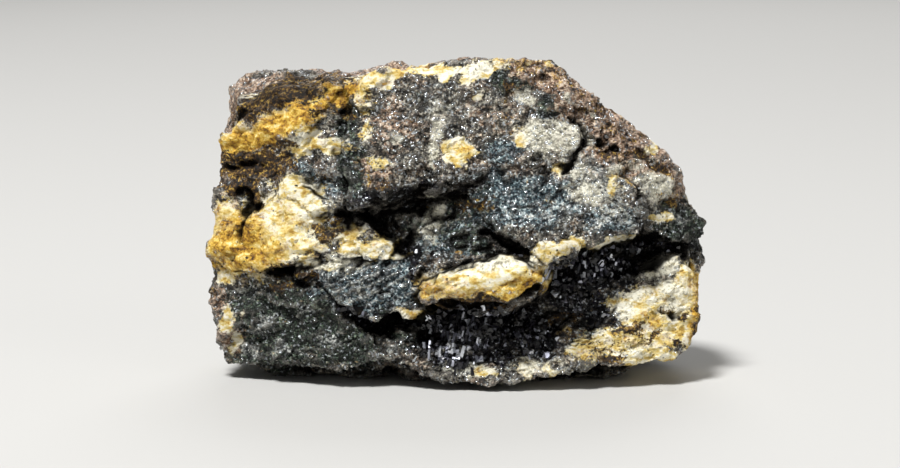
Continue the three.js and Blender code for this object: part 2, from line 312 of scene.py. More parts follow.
# Relief in two passes, each form as [size, depth] in millimetres: first fracture hollows and ledges along
# the beds, then small ledges, chips, grains and the fibres of the striated block.
WARP_MM = 1.1
OUTSET_MM = 0.55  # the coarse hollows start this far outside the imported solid
HOLLOW, LEDGE, CHIP = [6.5, 1.9], [4.6, 0.50], [2.9, 1.0]
SMALL_LEDGE, SMALL_CHIP, GRAIN, GRIT = [1.7, 0.34], [1.35, 0.42], [0.75, 0.20], [0.6, 0.05]
FIBRE, ACROSS_FIBRES = [0.95, 0.09], [-0.42, 0.91]
loose_rock = place + WARP_MM * np.stack([swell(place, 5, 61), swell(place, 5, 62), swell(place, 5, 63)], 1)
normal = spread(outward(place), 12)
relief = OUTSET_MM + HOLLOW[1] * scoops(in_beds(loose_rock), HOLLOW[0], 21) * rough_gain
relief += LEDGE[1] * steps(in_beds(loose_rock, 1.7), LEDGE[0], 27) * rough_gain
relief += CHIP[1] * scoops(in_beds(loose_rock), CHIP[0], 22) * rough_gain
place = place + normal * relief[:, None]
normal = spread(outward(place), 1)
fibres = (face @ ACROSS_FIBRES) + 0.35 * swell(place, 3, 26)
striated = front * patch(ragged, [[-9.5, 12.6, 6.0, 3.2, 10, 1]])
ledges = steps(in_beds(loose_rock, 1.5), SMALL_LEDGE[0], 28)
relief = SMALL_LEDGE[1] * ledges * (0.4 + 0.6 * rough_gain) * fine_gain
chips = scoops(in_beds(place, 1.2), SMALL_CHIP[0], 23)
relief += SMALL_CHIP[1] * chips * (0.6 + 0.4 * rough_gain) * fine_gain
relief -= GRAIN[1] * scoops(place, GRAIN[0], 24)
relief += GRIT[1] * swell(place, GRIT[0], 25)
stripe = np.sin(2 * np.pi * fibres / FIBRE[0])
relief += FIBRE[1] * striated * stripe
for line, width, depth in CRACKS:
    relief -= front * depth * groove(ragged, line, width)
place = place + normal * relief[:, None]

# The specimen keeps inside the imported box, but for a hair, and still lies on its level spot.
PROUD_MM = 0.3
low = np.array(cad_box[0]) * M - PROUD_MM
high = np.array(cad_box[1]) * M + PROUD_MM
place = np.clip(place, low, high)
place[:, 2] = np.maximum(place[:, 2], 0)
rock_mesh.vertices.foreach_set("co", (place * MM).astype(np.float32).ravel())
rock_mesh.update()

# Minerals of the rock, each as a share at every point. On the face they are laid out as marks, and round the
# sides and back the same beds go on in a looser way, by noise and by height across the beds.
MARKS = {
    "pale": [  # quartz and calcite, cream to white
        [-21, 19, 6.4, 4.6, 30, 1], [-17.6, 20.8, 2.4, 3.8, -20, 1], [-24, 15.4, 4.2, 1.3, 0, 1],
        [-18.6, 23.4, 2.0, 1.6, -20, 1], [-26.9, 20, 1.2, 3.6, 0, 0.8], [-12.4, 19.1, 2.6, 1.4, 10, 1],
        [-11, 16.7, 3.3, 1.2, 5, 1], [-7.5, 17.7, 2.2, 1.3, -10, 0.8], [-6.6, 16.3, 1.9, 0.7, 5, 1],
        [-16.3, 17.4, 1.8, 1.0, -5, 1], [-16.2, 15.3, 3.2, 0.9, -15, 0.8], [-27.5, 13.6, 1.4, 0.8, 0, 0.9],
        [-9, 37.3, 3.4, 1.0, 8, 1], [-5.8, 38.3, 1.9, 0.9, 0, 1], [-1, 37.9, 3.5, 0.7, 0, 1],
        [4.0, 38.2, 2.6, 1.0, 20, 1.2], [8.9, 39.0, 3.3, 1.5, 0, 0.35], [12.3, 38.4, 2.0, 1.3, -40, 0.3],
        [-10.2, 34.4, 1.0, 2.0, 5, 0.7], [-9.8, 31.0, 0.7, 1.6, -10, 0.55], [-15.4, 29.3, 4.2, 1.0, 2, 0.9],
        [-19, 28.8, 1.4, 1.2, 0, 0.6], [-16.4, 31.1, 1.7, 0.6, 15, 0.9], [-24.5, 30.4, 3.8, 1.5, 25, 1],
        [-20.6, 31.9, 4.6, 1.3, 18, 1], [-26.6, 28.9, 1.5, 1.4, 20, 0.9], [-24.2, 36.0, 1.8, 0.8, 25, 1],
        [1.2, 28.7, 1.9, 1.5, 0, 1], [0.6, 27.3, 1.6, 0.8, 0, 0.9], [3.4, 35.1, 0.7, 0.5, 10, 0.95],
        [8.2, 29.9, 1.1, 1.3, 0, 1.0], [13.7, 26.8, 1.3, 0.7, 10, 0.7], [-8.2, 27.4, 1.6, 0.8, -5, 0.6],
        [19.3, 24.6, 0.6, 1.7, 20, 0.7], [24.4, 28.8, 1.3, 0.6, -5, 0.8], [25.4, 20.5, 1.4, 0.7, 0, 0.8],
        [13, 16.9, 3.4, 0.9, 12, 1], [19, 17.7, 3.6, 0.5, 4, 0.95], [1, 12.8, 5, 1.8, 4, 1],
        [6.5, 13.9, 5, 1.9, 6, 1], [11, 14.4, 1.3, 2.2, 0, 1], [-4, 9.2, 2.2, 0.9, -5, 1],
        [24.7, 14.9, 2.9, 1.2, 20, 0.85], [28.2, 13, 1.5, 2.1, 0, 1.1], [23.4, 10.4, 3.8, 2.0, 0, 0.95],
        [26.3, 11.2, 2.8, 1.8, 0, 1.1], [23.5, 8.2, 3.0, 1.3, -15, 1.0], [27.4, 7.4, 1.8, 2.4, 0, 1.1],
        [22, 5.4, 5.4, 2.0, -3, 0.95], [15.8, 4.8, 2.8, 1.6, 20, 0.65], [9.4, 2.4, 1.9, 0.8, 0, 0.7],
        [12.6, 2.4, 1.5, 0.7, 0, 0.7], [4, 1.7, 2.3, 0.7, 0, 0.7], [24, 3.3, 3.4, 1.0, 5, 1.0],
        [-26.2, 8.4, 0.9, 1.6, 0, 1.0], [-26.0, 5.4, 0.7, 1.2, 0, 0.8],
    ],
    "haze": [  # thin white bloom of calcite over the ore
        [10.2, 30.4, 2.2, 1.9, 15, 1.1], [13.8, 30.5, 3.0, 2.1, -10, 0.8], [11.6, 28.3, 2.6, 1.0, 10, 0.6],
        [-1.0, 33.4, 1.7, 2.2, -15, 0.55], [-1.6, 31.0, 0.8, 2.0, -8, 0.9],
        [-2.0, 28.9, 0.9, 1.6, -20, 1.2], [-2.8, 27.4, 1.1, 0.6, 35, 0.8], [8.8, 35.2, 1.0, 0.9, 0, 0.8],
        [-6.2, 30.0, 0.8, 1.0, 0, 0.8], [-1.2, 23.0, 1.5, 0.9, 10, 0.85], [-1.5, 20.9, 1.9, 1.5, 30, 0.85],
        [-3, 18.6, 1.2, 1.0, 0, 0.7], [16.6, 23.4, 2.2, 1.4, 0, 1], [21.4, 26.8, 1.8, 1.0, 10, 0.7],
        [24.9, 24.2, 2.6, 1.9, -10, 0.95], [18.6, 22, 3.6, 1.6, 0, 0.5], [15.2, 26.0, 2.4, 2.0, 0, 0.6],
        [-15.5, 18.6, 2.6, 1.2, 0, 0.8], [-13.6, 15.2, 4.4, 0.9, 0, 0.9], [24.8, 14.8, 3.0, 1.6, 20, 1],
        [22.6, 11.0, 2.0, 1.2, 0, 0.8], [-17.9, 30.4, 1.4, 0.5, 5, 1], [-24.4, 36.0, 1.7, 1.0, 25, 1],
        [-11, 11.6, 4.6, 1.2, 12, 0.35], [0.6, 5.0, 2.2, 1.6, 60, 0.5], [2, 2.4, 3, 0.9, 0, 0.6],
        [9.6, 2.6, 2.4, 1.0, 0, 0.8], [-5.4, 9.0, 1.2, 0.8, 0, 0.8], [5, 33.5, 4, 2.2, 0, 0.3],
        [19.6, 26.4, 1.0, 0.6, -30, 0.95], [17.2, 32.4, 1.1, 0.5, -40, 0.8], [22.2, 25.2, 0.8, 0.5, 0, 0.9],
        [14.4, 34.6, 0.9, 0.5, -40, 0.8], [24.0, 27.6, 0.9, 0.5, -30, 0.8], [13, 2.8, 1.8, 0.8, 0, 0.6],
        [-26, 4.8, 1.6, 1.2, 0, 0.4], [26.6, 10.0, 1.4, 1.0, 0, 0.9], [-14.2, 23.0, 2.0, 0.8, 0, 0.4],
        [6.5, 14.7, 5.4, 0.9, 6, 1.0], [0.4, 13.8, 3.4, 0.6, 4, 0.9], [19.5, 17.8, 3.4, 0.4, 4, 0.7],
        [3.8, 38.4, 2.4, 0.8, 20, 1.0], [26.4, 12.2, 2.4, 1.5, 0, 0.8], [21.0, 9.6, 1.5, 1.3, 0, 0.8],
        [22.4, 4.0, 1.6, 0.8, 0, 0.8], [-17.0, 20.4, 1.6, 2.4, -20, 0.6], [-8.0, 16.6, 1.6, 0.7, 0, 0.8],
    ],
    "ochre": [  # limonite: rust stain on and between the pale minerals
        [-25.6, 29.4, 3.2, 1.6, 28, 1.2], [-22.2, 30.9, 4.2, 1.6, 24, 1.2],
        [-18.0, 32.6, 4.2, 1.4, 20, 1.1], [-24.9, 17.6, 3.4, 3.8, 15, 1.1], [-27.3, 15.2, 2.0, 1.6, 0, 0.8],
        [-0.6, 11.4, 3.4, 0.7, 5, 0.62], [-22.0, 16.6, 2.6, 2.0, 30, 0.8], [-25.6, 15.6, 2.4, 1.4, 10, 0.7],
        [-19.6, 20.4, 1.6, 2.8, -10, 0.5], [-27.2, 21.2, 0.8, 2.2, 0, 0.6], [4.5, 11.5, 6.4, 0.8, 5, 0.66],
        [-3.0, 12.0, 1.6, 1.6, 0, 0.7], [-26.2, 29.2, 2.0, 1.6, 20, 0.9], [-24, 30.8, 3.2, 1.0, 25, 0.55],
        [-19.5, 32.9, 4.6, 1.2, 16, 0.6], [-16.4, 34.4, 4.6, 1.3, 14, 0.95], [-13.0, 35.5, 2.8, 1.3, 5, 1],
        [-12.2, 36.4, 1.8, 0.6, 10, 0.9], [-5.8, 38.5, 1.7, 0.8, 0, 0.7], [-8.3, 37.2, 1.6, 0.7, 0, 0.35],
        [1.4, 28.9, 1.4, 0.9, 0, 0.75], [8.0, 29.7, 0.9, 1.3, 0, 0.6], [6, 39.3, 1.0, 0.6, 0, 0.8],
        [9.5, 39.3, 2.8, 0.9, 0, 0.5], [11.8, 38.8, 1.8, 1.0, -30, 0.45], [12.6, 37.3, 1.4, 0.8, -30, 0.25],
        [-23.4, 17.3, 2.6, 1.6, 20, 0.65], [-26.3, 16.6, 1.3, 1.2, 20, 0.6],
        [-20.6, 22.4, 1.8, 1.6, 0, 0.35], [-24.2, 19.4, 0.8, 1.6, 10, 0.5], [-18.5, 17.4, 0.6, 0.6, 0, 0.7],
        [-16.4, 17.2, 1.6, 0.4, -5, 0.6], [-12.2, 19.2, 1.5, 0.7, 10, 0.7],
        [-11.8, 18.0, 1.6, 0.4, 25, 0.7], [-8.7, 18, 1.0, 0.9, 0, 0.5], [-15, 29, 3.2, 0.8, 2, 0.35],
        [-19.5, 28.8, 1.2, 1.2, 0, 0.6], [-10.6, 34.4, 0.7, 1.6, 0, 0.4], [-9.6, 25.2, 0.5, 2.0, 0, 0.5],
        [-10.9, 26.0, 0.7, 1.2, 0, 0.4], [-1, 11.7, 3.2, 0.9, 5, 0.6], [8.5, 12.4, 3.0, 0.9, 6, 1.0],
        [10.6, 13.9, 1.0, 1.3, 0, 0.85], [12.6, 16.3, 2.4, 0.7, 15, 0.45], [9.0, 15.9, 1.0, 0.5, 10, 0.5],
        [-4.4, 9.3, 1.9, 0.8, -5, 0.8], [1.5, 9.7, 4.2, 0.6, 3, 0.7], [4, 11.4, 5, 0.5, 4, 0.5],
        [28.9, 12.6, 1.0, 2.4, 0, 0.8], [24.3, 11.7, 1.5, 0.6, 0, 0.7], [24, 8.2, 2.2, 0.8, -20, 0.75],
        [21.5, 5.8, 2.6, 1.0, 10, 0.55], [26, 5.6, 2.2, 1.2, -10, 0.5], [29.2, 8.0, 0.6, 3.2, 0, 0.9],
        [17, 4.4, 2.6, 1.0, 20, 0.5], [13.5, 6.8, 1.6, 0.8, 20, 0.5], [27.8, 10.3, 0.8, 1.2, 0, 0.5],
        [0.8, 16.2, 0.5, 0.4, 0, 0.8], [4.2, 22.1, 1.0, 0.6, 0, 0.5], [11.4, 22.2, 1.0, 0.6, 0, 0.5],
        [20.5, 25.4, 1.3, 2.0, 20, 0.5], [25.2, 25.2, 1.6, 0.8, -20, 0.4], [17, 30, 1.2, 1.6, 30, 0.3],
        [24.0, 20.6, 0.8, 0.6, 0, 0.5],
    ],
    "brown": [  # iron oxides, dark brown, in the weathered skin
        [-14.9, 18.9, 1.7, 1.2, -10, 0.9], [20, 6.2, 4.2, 2.6, 10, 0.42], [25.6, 9.2, 1.4, 0.6, -50, 0.6],
        [24.6, 6.2, 1.3, 0.5, 30, 0.9], [27.6, 5.4, 1.0, 0.5, -20, 0.9], [21.8, 7.2, 1.5, 0.6, 10, 0.9],
        [19.2, 3.6, 1.7, 0.5, 0, 0.9], [27.8, 9.0, 0.9, 0.4, 20, 0.8], [-24.5, 28.0, 3.6, 0.8, 8, 0.9],
        [-27.2, 26.4, 1.4, 1.2, 0, 0.9], [-24, 15.6, 0.8, 0.5, 0, 0.5], [-17.2, 13.4, 1.8, 0.8, -25, 0.8],
        [-12.6, 33.2, 1.4, 0.9, -40, 0.7], [-23, 26.6, 4.6, 1.9, 4, 1], [-25, 24.3, 2.6, 1.0, 0, 0.9],
        [-23.4, 22.5, 0.9, 2.2, -12, 0.9], [-24.6, 19, 0.5, 1.8, 0, 0.6], [-20.2, 35.4, 5.2, 1.1, 5, 1.15],
        [-22.6, 34.0, 3.6, 1.3, 18, 1.15], [-25.4, 33.4, 0.9, 1.2, 20, 0.8],
        [-15.5, 36.7, 3.6, 0.6, 4, 0.7], [-19.4, 29.9, 1.3, 0.6, 0, 0.9], [-21, 29.3, 2.0, 0.9, 10, 0.6],
        [-15.2, 33.2, 1.5, 0.6, 10, 0.6], [-17.3, 33.9, 1.0, 0.6, 0, 0.6], [-20, 14.3, 2.1, 1.2, -15, 0.9],
        [-20.2, 12.1, 1.8, 0.7, 0, 0.8], [-13.4, 20.8, 1.7, 0.7, 10, 0.8], [-15.3, 25.2, 1.6, 1.2, 0, 0.5],
        [-8, 18.5, 1.8, 0.7, -10, 0.5], [-6, 17.2, 1.0, 0.5, -25, 0.8], [2.6, 22.3, 2.8, 0.9, -3, 0.6],
        [-2.6, 22.1, 1.2, 0.5, 30, 0.5], [11.6, 22.3, 1.3, 0.7, 0, 0.6], [-8, 24.9, 2.2, 1.0, 5, 0.5],
        [2.5, 9.9, 5.2, 0.8, 3, 0.9], [3, 10.7, 5.5, 0.45, 4, 0.8], [29.6, 8.6, 0.45, 3.6, 0, 1],
        [20.4, 26.4, 0.8, 3.4, 20, 0.55], [16.2, 33.2, 2.4, 0.6, -30, 0.5],
        [18.8, 31.3, 2.6, 0.6, -25, 0.5], [15.4, 35.4, 1.4, 0.6, -30, 0.5],
        [17.5, 34.0, 2.4, 0.5, -38, 0.55], [21.2, 30.4, 2.2, 0.5, -36, 0.65],
        [22.6, 28.0, 1.8, 0.6, -20, 0.9], [25.0, 26.2, 1.5, 0.6, -35, 1.0], [18.6, 28.6, 1.4, 0.9, 0, 0.8],
        [14.2, 37.0, 1.5, 0.4, -45, 0.6], [-18, 37.3, 8, 1.2, 3, 0.8], [19.8, 33.4, 1.2, 0.5, -40, 0.8],
        [26.6, 22.2, 1.4, 0.6, -30, 0.8], [10.0, 38.6, 0.35, 1.2, 5, 0.7], [12.2, 38.0, 0.9, 0.3, 0, 0.6],
        [27.2, 23.8, 0.7, 1.6, 25, 0.6], [19, 36, 4, 2, -35, 0.2], [13.2, 8.2, 2.6, 0.9, 10, 0.6],
        [-28.3, 11.4, 0.8, 1.4, 0, 0.5], [7.2, 35.6, 0.8, 1.2, 0, 0.6], [15, 6.6, 2.2, 1.2, 20, 0.5],
        [-10, 35.3, 0.8, 0.5, 0, 0.7], [7, 32, 0.9, 1.5, 20, 0.4],
    ],
    "skin": [  # fine pinkish beige weathered ore
        [15, 35.2, 2.0, 4.2, 40, 0.9], [18, 31.6, 3.4, 4.2, 42, 1.4], [21.2, 29.6, 3.6, 2.4, -30, 1],
        [24.8, 26.8, 1.8, 2.4, 20, 0.9], [27.3, 24.4, 1.2, 1.8, 25, 0.9], [21.5, 27, 2.0, 1.5, 0, 0.7],
        [10.8, 38.0, 3.6, 1.8, -20, 1.35], [16.5, 33.6, 3.0, 4.8, 40, 1.2],
        [22.6, 28.6, 3.4, 3.0, -30, 1.4], [-17, 37.6, 7, 0.7, 3, 1], [-7, 31.6, 2.8, 4.0, 0, 0.5],
        [5, 32.6, 3.2, 1.8, 0, 0.45], [-9, 26.4, 2.0, 1.4, 0, 0.7], [-8, 24.6, 2.0, 0.8, 5, 0.6],
        [-26.8, 21.4, 1.3, 2.4, 0, 0.6], [17, 26.5, 1.8, 2.0, 0, 0.35], [-26.4, 6.5, 1.4, 3.2, 0, 0.75],
        [-27.9, 10.8, 1.0, 1.8, 0, 0.8], [-4, 30.5, 1.6, 1.2, 0, 0.4], [3.5, 34.4, 1.6, 0.8, 0, 0.3],
    ],
    "blende": [  # coarse sphalerite, near black with a purple cast; the marks under the upper slab and the long one under the vein bar also paint the shade there
        [3, 8.9, 8, 1.0, 3, 1], [-11.5, 8.6, 3.6, 0.6, -38, 1], [-7.5, 22.6, 5.4, 1.7, 14, 1],
        [0.5, 24.6, 5, 0.7, 10, 1], [17.6, 14.7, 6.2, 1.9, -7, 1], [15.2, 11.4, 4.2, 2.2, -20, 1.1],
        [18.0, 9.2, 2.2, 2.0, 0, 0.9], [5, 6.6, 7.4, 2.7, 3, 1], [-0.5, 7.6, 5.0, 1.1, 0, 1],
        [10, 6.2, 3.2, 3.2, 0, 1], [15.4, 9.3, 3.0, 0.9, 10, 0.9], [0, 4.9, 4.2, 2.4, 0, 0.9],
        [22, 17, 7.5, 0.7, 2, 1], [-8.2, 22.3, 4.6, 1.5, 14, 1], [-2, 24.4, 3.6, 0.7, 12, 1],
        [2.8, 25.2, 3.0, 0.45, 12, 1], [6.3, 17.3, 2.4, 0.8, -25, 0.9], [-4.3, 16.2, 1.0, 1.6, 20, 0.85],
        [-11.4, 21.9, 1.4, 0.5, 0, 1], [-4.4, 13.6, 0.8, 2.0, 5, 0.8], [5.0, 3.6, 3, 1.0, 0, 0.8],
        [22.7, 19.4, 0.5, 1.5, 0, 0.9],
    ],
    "blue": [  # fine ore with a cold blue-green cast
        [9, 22.8, 7.0, 3.6, -8, 1], [1, 18.4, 5.4, 2.6, 0, 0.9], [19, 20.8, 4, 2, 0, 0.9],
        [-17.4, 26.4, 2.4, 1.6, -20, 0.9], [-10, 12.4, 6.4, 3.2, 3, 1.3], [11.6, 34, 2.0, 2.2, 0, 0.7],
        [-12.4, 29.5, 0.9, 3.8, 3, 0.4], [5.4, 37.4, 2.6, 0.8, 10, 0.6], [6, 28.6, 2.6, 1.4, 0, 0.7],
        [-14, 24, 3, 2.0, 0, 0.6], [-7.5, 33.4, 0.8, 1.2, 0, 0.4], [-2.2, 35.2, 2.2, 1.2, 0, 0.4],
        [-19, 6, 7, 3.4, 0, 0.35], [0, 4.8, 3.5, 2.2, 0, 0.5],
    ],
    "dark": [  # dark grey-green ore with few pale grains; the marks just below the upper slab also paint the shade there
        [-21, 7.2, 8.2, 5.4, -6, 1], [-13, 5.4, 4.6, 3.0, -20, 0.9], [-8, 22.0, 5.2, 1.8, 14, 0.8],
        [-12.1, 29.2, 1.5, 5.4, 4, 1.25], [8, 36.6, 3.4, 1.0, 5, 0.8], [12.2, 34.2, 1.8, 1.8, -30, 0.8],
        [-1, 21.2, 5.0, 3.0, 20, 0.7], [3, 18.4, 4.6, 2.2, 10, 0.7], [28.6, 19.8, 3.8, 2.6, -20, 1.0],
        [-6.5, 7.2, 3.0, 2.0, -20, 0.8], [-17, 24.2, 2.4, 1.4, -20, 0.5], [-22.5, 35.4, 3.0, 0.9, 10, 0.5],
        [16.6, 6.0, 3.0, 3.0, 20, 0.6], [23.6, 17.6, 6.5, 0.9, 0, 1],
    ],
    "darkening_and_painted_shade": [  # darkening of the ore; the marks under the upper slab, under the vein bar and in the slot under the cream lip are painted shadow
        [-1, 20.3, 7.5, 4.0, 16, 0.35], [-9.5, 21.4, 5.6, 1.5, 18, 2.2], [-2.8, 24.0, 4.8, 1.1, 14, 2.2],
        [3.2, 25.5, 3.4, 0.7, 10, 1.8], [-21, 7.2, 9, 6, -5, 0.6], [-13, 5.5, 5.4, 3.6, -15, 0.6],
        [-10, 10.4, 6, 2, 15, 0.5], [3, 8.7, 9, 1.8, 3, 1], [24, 17.2, 7, 1.4, 2, 1],
        [29.4, 19.6, 3.6, 3.2, 0, 1.0], [-20, 35.3, 6.5, 1.3, 8, 0.8], [-12.2, 29.5, 1.2, 4.6, 3, 0.6],
        [12.3, 34, 2.2, 2.4, -30, 0.7], [7.5, 36.6, 3.2, 1.3, 0, 0.6], [18, 14.6, 6.4, 2.2, -7, 0.9],
        [5, 6, 9, 3.2, 3, 0.8], [-16.5, 25.4, 3.4, 2.4, -10, 0.5], [22.8, 20, 0.9, 3.0, 10, 0.8],
        [15, 7, 3.2, 3.6, 15, 0.7], [-20.5, 13.3, 5, 1.0, -10, 0.8],
    ],
    "bright": [  # ore with many white grains
        [18, 25.4, 4.0, 3.2, 0, 0.8], [12.6, 21, 6, 2.4, 0, 0.55], [-14.4, 25.6, 3.6, 1.8, 0, 0.5],
        [-22.4, 7.8, 1.9, 1.1, 35, 1.0], [-19.4, 4.9, 2.1, 0.8, -10, 1.0], [-23.8, 4.6, 1.3, 0.9, 0, 0.9],
        [-17.6, 9.6, 1.5, 0.6, -20, 0.9], [-14.6, 5.6, 2.2, 0.6, -20, 1.0], [-9.5, 11.6, 4.4, 1.2, 8, 0.35],
        [-15.5, 13.6, 3.0, 1.2, 0, 0.7], [-1, 34.6, 2.6, 2.8, 0, 0.5], [19.5, 21, 3.6, 1.6, 0, 0.7],
        [12.5, 27.6, 3.5, 1.0, 0, 0.6], [27.2, 20.4, 2.2, 0.9, 0, 0.9], [-7.2, 4.6, 1.6, 1.0, -40, 0.7],
        [0.5, 4.4, 3.4, 2.4, 0, 0.7], [2.6, 2.2, 2.5, 1.0, 0, 0.6], [-24.8, 11.9, 2.4, 0.8, 0, 0.4],
        [5, 33.5, 5, 3, 0, 0.35], [-5.5, 31, 3, 3, 0, 0.35], [19.4, 10.6, 2.0, 1.6, 0, 0.6],
    ],
}

# Away from the face each share rises with a noise along the beds, some of them near a bed of their own.
beds = in_beds(place, 1.9)
bed_height = (place @ across_beds) + 1.8 * swell(place, 8, 31) + 0.5 * swell(place, 2.5, 32)
LOOSE = {
    "pale": 0.95 * across(0.50, 0.78, swell(beds, 10, 41) + 0.45 * across(6, 0, np.abs(bed_height - 16))),
    "haze": 0.8 * across(0.2, 0.6, swell(beds, 8, 49)),
    "ochre": 0.85 * across(0.25, 0.65, swell(beds, 9, 42) + 0.5 * across(5, 0, np.abs(bed_height - 31))),
    "brown": 0.85 * across(0.15, 0.6, swell(beds, 8, 43) + 0.3 * across(4, 0, np.abs(bed_height - 26))),
    "skin": 0.9 * across(0.0, 0.5, swell(place, 12, 44) + 0.7 * across(18, 34, place[:, 2])),
    "blende": 0.9 * across(0.25, 0.5, swell(beds, 10, 45) - 0.2 * across(14, 30, place[:, 2])),
    "blue": 0.8 * across(-0.1, 0.4, swell(beds, 12, 46)) * across(36, 30, place[:, 2]),
    "bright": 0.7 * across(0.0, 0.5, swell(beds, 7, 47)),
    "dark": 0.7 * across(0.0, 0.5, swell(place, 12, 48)),
    "darkening_and_painted_shade": 0.7 * across(0.0, 0.5, swell(beds, 10, 50)),
}
shares = {name: front * patch(ragged, marks) + (1 - front) * LOOSE[name] for name, marks in MARKS.items()}


def shut_in(p, n, cell=0.75, reach=9.0):
    """The share of the sky over each point that the rock hides within reach: lines of sight, spread evenly
    by the golden angle, are followed through a block of cells, and grazing ones count for nothing."""
    margin, lift, start_at, stride = 15, 0.8, 1.2, 0.7
    rays, golden_angle, grazing = 40, 2.39996, 0.25
    size = np.ceil(np.ptp(p, axis=0) / cell).astype(int) + 2 * margin
    start = p.min(0) - margin * cell
    full = np.zeros(size, bool)
    full[tuple(((p - start) / cell).astype(int).T)] = True
    eye = p + lift * n
    turn = np.arange(rays) + 0.5
    z = 1 - 2 * turn / rays
    wide = np.sqrt(1 - z * z)
    ray = np.stack([wide * np.cos(golden_angle * turn), wide * np.sin(golden_angle * turn), z], 1)
    hidden = np.zeros(len(p))
    total = np.zeros(len(p))
    for d in ray:
        lean = np.clip(n @ d - grazing, 0, None)
        blocked = np.zeros(len(p), bool)
        for far in np.arange(start_at, reach, stride):
            blocked |= full[tuple(((eye + far * d - start) / cell).astype(int).T)]
        hidden += lean * blocked
        total += lean
    return hidden / total


# The crests of the fibres are bright. A hollow lies under the smoothed surface around it and a ridge above,
# by the millimetres given here, and the material paints shade into the hollows. The recess share is painted
# shade, from the share of sky over each point that the rock hides, and the darkening marks, which are painted
# shadow under the slab, the vein bar and the cream lip, darken a place as a deep recess does.
shares["bright"] = np.maximum(shares["bright"], 0.95 * striated * across(0.1, 1.0, stripe))
normal = outward(place)
shares["hollow"] = across(0.02, 0.22, np.sum((spread(place, 10) - place) * normal, 1))
shares["recess_shade"] = across(0.06, 0.36, spread(shut_in(place, normal), 2))
shadow_and_darkening = 0.7 * shares.pop("darkening_and_painted_shade") * (0.75 + 0.6 * swell(place, 2.2, 51))
shares["recess_shade"] = np.maximum(shares["recess_shade"], shadow_and_darkening)
shares["ridge"] = across(0.03, 0.20, np.sum((place - spread(place, 10)) * normal, 1))


def written(mesh, values):
    """Each share becomes a point attribute of the mesh, which the material reads by name."""
    for name, value in values.items():
        mesh.attributes.new(name, "FLOAT", "POINT").data.foreach_set("value", value.astype(np.float32))


written(rock_mesh, shares)


def colour(hex_code):
    """A hex colour as it is printed, turned to linear light."""
    c = np.array([int(hex_code[i:i + 2], 16) for i in (1, 3, 5)]) / 255
    return (*np.where(c <= 0.04045, c / 12.92, ((c + 0.055) / 1.055) ** 2.4), 1.0)


def add(tree, kind, links=None, stops=(), **settings):
    """Adds one node: links feed its inputs from other sockets, stops are [place, hex] of a colour ramp, and
    settings name its properties, or its inputs by name or as i and their number."""
    made = tree.nodes.new("ShaderNode" + kind)
    for key, value in settings.items():
        if hasattr(made, key):
            setattr(made, key, value)
        else:
            made.inputs[int(key[1:]) if key[1:].isdigit() else key.replace("_", " ")].default_value = value
    for at, code in stops[2:]:
        made.color_ramp.elements.new(0.5)
    for (at, code), element in zip(stops, made.color_ramp.elements if stops else ()):
        element.position = at
        element.color = colour(code)
    for key, socket in (links or {}).items():
        tree.links.new(made.inputs[key], socket)
    return made


# Broken ore: dull grey to blue-black grains of sphalerite and galena from 0.2 to 0.5 mm, a few of which
# glint, with cream quartz, powdery rust and dark brown oxide. Broken, not cut, so each grain leans its own
# way, and the eye sees a rough, sparkling skin. Patterns are set by how often they repeat in a millimetre.
GRAINS_PER_MM = 2.2
FINE_PER_MM = 4.4
PITS_PER_MM = 1.15
CLOUDS_PER_MM = 0.42
SMOKE_PER_MM = 0.95
DUST_PER_MM = 2.6
WOBBLE_PER_MM = 1.3
BED_STRETCH = (0.75, 1.0, 1.3)  # clouds are long along the beds and thin across them
ore = bpy.data.materials.new("broken_sphalerite_ore")
ore.use_nodes = True
t = ore.node_tree
t.nodes.clear()
where = add(t, "TexCoord").outputs["Object"]
mm = add(t, "VectorMath", {0: where}, operation="SCALE", Scale=M).outputs[0]
bedded = add(t, "Mapping", {0: mm}, i2=(0.0, float(BED_DIP), 0.0), i3=BED_STRETCH).outputs[0]
wobble = add(t, "TexNoise", {"Vector": mm}, Scale=WOBBLE_PER_MM, Detail=3.0, Roughness=0.6).outputs["Color"]
warped = add(t, "VectorMath", {0: wobble, 2: mm}, operation="MULTIPLY_ADD", i1=(0.9, 0.9, 0.9)).outputs[0]
grain = add(t, "TexVoronoi", {"Vector": warped}, Scale=GRAINS_PER_MM)
fine = add(t, "TexVoronoi", {"Vector": warped}, Scale=FINE_PER_MM)
cloud = add(t, "TexNoise", {"Vector": bedded}, Scale=CLOUDS_PER_MM, Detail=5.0, Roughness=0.62)
smoke = add(t, "TexNoise", {"Vector": bedded}, Scale=SMOKE_PER_MM, Detail=5.0, Roughness=0.62)
dust = add(t, "TexNoise", {"Vector": mm}, Scale=DUST_PER_MM, Detail=6.0, Roughness=0.72)
grain_id = add(t, "SeparateColor", {0: grain.outputs["Color"]})
fine_id = add(t, "SeparateColor", {0: fine.outputs["Color"]})
cloud_id = add(t, "SeparateColor", {0: cloud.outputs["Color"]})
smoke_id = add(t, "SeparateColor", {0: smoke.outputs["Color"]})
dust_id = add(t, "SeparateColor", {0: dust.outputs["Color"]})


def share(name, low, high, big, small, cloudy=2.0, frayed=1.5, specks=0.32):
    """A mineral's share from the mesh, plus each noise's distance from a half times its gain, and then 0 at
    low and 1 at high: its rim is torn by two cloudy noises and grain by grain."""
    rim = add(t, "Attribute", attribute_name=name).outputs["Fac"]
    for socket, gain in ((big, cloudy), (small, frayed), (fine_id.outputs[0], specks)):
        about = add(t, "Math", {0: socket}, operation="SUBTRACT", i1=0.5).outputs[0]
        rim = add(t, "Math", {0: about, 2: rim}, operation="MULTIPLY_ADD", i1=gain).outputs[0]
    return add(t, "MapRange", {"Value": rim}, i1=low, i2=high, interpolation_type="SMOOTHSTEP").outputs[0]


